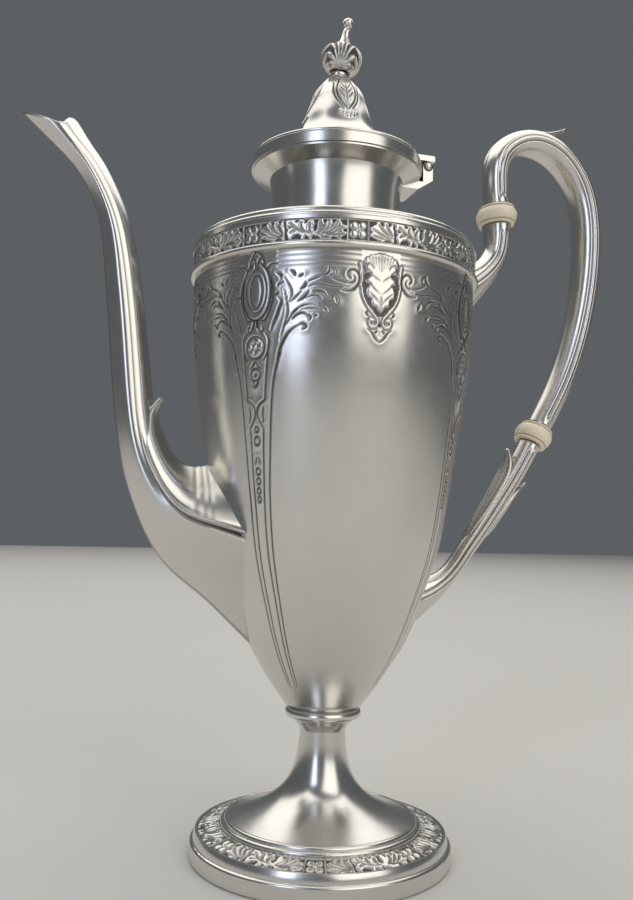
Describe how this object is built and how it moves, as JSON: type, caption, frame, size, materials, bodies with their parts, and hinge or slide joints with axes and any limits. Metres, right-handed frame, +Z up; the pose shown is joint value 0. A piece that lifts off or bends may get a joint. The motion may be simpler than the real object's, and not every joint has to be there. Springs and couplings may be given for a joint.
{
  "type": "coffee pot",
  "caption": "Tall silver coffee pot on a trumpet foot, with a swan spout, a scrolled handle with cream insulators, a hinged domed lid and chased ornament.",
  "frame": {"origin": "middle of the flat ring on the underside of the foot, which is also the bottom centre of the whole pot", "axes": "+Z up the pot's axis, -X towards the spout, +X towards the handle, +Y across, along the hinge pin"},
  "size_m": [0.2128, 0.1, 0.2918],
  "materials": {
    "polished_silver": "polished silver with a slight warm tarnish",
    "chased_silver": "polished silver with darkened recesses in its chased ornament",
    "cream_insulator": "turned, satin, cream coloured like bone"
  },
  "bodies": {
    "pot": {"foot_rim": "polished_silver", "foot_bead": "polished_silver", "foot_ring": "polished_silver", "pedestal": "polished_silver", "waist_collar": "polished_silver", "band_bead": "polished_silver", "band_moulding": "polished_silver", "shoulder": "polished_silver", "neck": "polished_silver", "neck_lip": "polished_silver", "spout": "polished_silver", "spout_leaf": "polished_silver", "hinge_bracket": "polished_silver", "hinge_pin": "polished_silver", "handle_grip": "polished_silver", "handle_leaf": "polished_silver", "upper_socket": "polished_silver", "lower_socket": "polished_silver", "lower_outer_leaf": "polished_silver", "lower_inner_leaf": "polished_silver", "upper_pins": "polished_silver", "lower_pins": "polished_silver", "foot_border": "chased_silver", "body_shell": "chased_silver", "body_band": "chased_silver", "upper_insulator": "cream_insulator", "lower_insulator": "cream_insulator"},
    "lid": {"lid_rim": "polished_silver", "lid_dome": "chased_silver", "lid_bezel": "polished_silver", "finial_seat": "polished_silver", "finial_bud": "chased_silver", "finial_spire": "polished_silver", "finial_stud": "polished_silver", "finial_nut": "polished_silver", "hinge_leaf": "polished_silver"}
  },
  "joints": [
    {"name": "lid_hinge", "type": "hinge", "parent": "pot", "child": "lid", "pos_m": [0.0322, 0, 0.23825], "axis": [0, 1, 0], "range_deg": [0, 90]}
  ]
}
